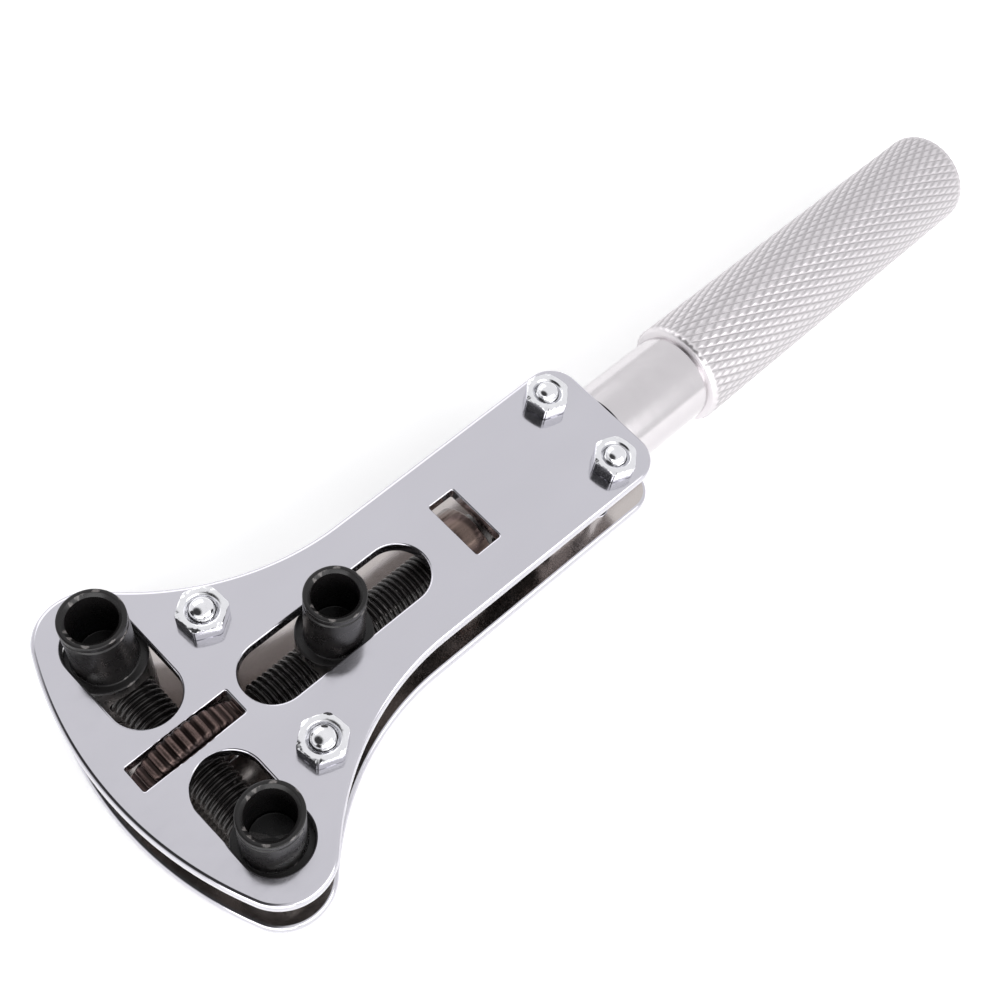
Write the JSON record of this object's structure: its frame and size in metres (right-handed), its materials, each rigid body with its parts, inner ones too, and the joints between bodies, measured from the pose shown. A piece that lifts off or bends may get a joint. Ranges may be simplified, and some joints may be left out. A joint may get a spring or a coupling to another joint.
{
  "type": "case back opener",
  "caption": "Hand tool that unscrews watch case backs: fan-shaped plates on a knurled handle, with thumb wheels and screws that move posts along slots.",
  "frame": {"origin": "On the rear plate's outer face, on the tool's centre line, midway between the axial wheel's window and the place of the slot in front of it.", "axes": "+Y runs along the handle, away from the posts. +Z is the way the posts stand, out of the front plate. +X is to the right when +Y is up and the posts face the viewer."},
  "size_m": [0.0464, 0.1658, 0.0244],
  "materials": {
    "plated_steel": "bright plated steel sheet, polished, with rounded edges",
    "satin_aluminium": "satin aluminium, turned and polished at the neck, diamond knurled at the grip",
    "bright_steel": "bright plated steel",
    "blacked_steel": "black oxide steel, satin",
    "browned_steel": "dark brown-black oxide steel, satin"
  },
  "bodies": {
    "frame": {"rear_plate": "plated_steel", "front_plate": "plated_steel", "handle": "satin_aluminium", "bolt_end_left": "bright_steel", "nut_end_left": "bright_steel", "bolt_end_right": "bright_steel", "nut_end_right": "bright_steel", "bolt_fan_left": "bright_steel", "nut_fan_left": "bright_steel", "bolt_fan_right": "bright_steel", "nut_fan_right": "bright_steel", "spacer_fan_left": "bright_steel", "spacer_fan_right": "bright_steel"},
    "cross_drive": {"cross_screw": "blacked_steel", "cross_wheel": "browned_steel"},
    "axial_drive": {"axial_screw": "blacked_steel", "axial_wheel": "browned_steel"},
    "left_post": {"post_left": "blacked_steel"},
    "right_post": {"post_right": "blacked_steel"},
    "top_post": {"post_top": "blacked_steel"}
  },
  "joints": [
    {"name": "cross_screw_turn", "type": "hinge", "parent": "frame", "child": "cross_drive", "pos_m": [0, -0.03843, 0.007], "axis": [1, 0, 0], "range_deg": [-405, 3510]},
    {"name": "left_post_slide", "type": "slide", "parent": "frame", "child": "left_post", "axis": [1, 0, 0], "range_m": [-0.0009, 0.0078]},
    {"name": "right_post_slide", "type": "slide", "parent": "frame", "child": "right_post", "axis": [-1, 0, 0], "range_m": [-0.0009, 0.0078]},
    {"name": "axial_screw_turn", "type": "hinge", "parent": "frame", "child": "axial_drive", "pos_m": [0, 0.00468, 0.007], "axis": [0, -1, 0], "range_deg": [-3712.5, 4725]},
    {"name": "top_post_slide", "type": "slide", "parent": "frame", "child": "top_post", "axis": [0, 1, 0], "range_m": [-0.00825, 0.0105]}
  ],
  "couplings": [
    {"joint": "left_post_slide", "follows": "cross_screw_turn", "m_per_rad": 0.00012732},
    {"joint": "right_post_slide", "follows": "cross_screw_turn", "m_per_rad": 0.00012732},
    {"joint": "top_post_slide", "follows": "axial_screw_turn", "m_per_rad": 0.00012732}
  ]
}
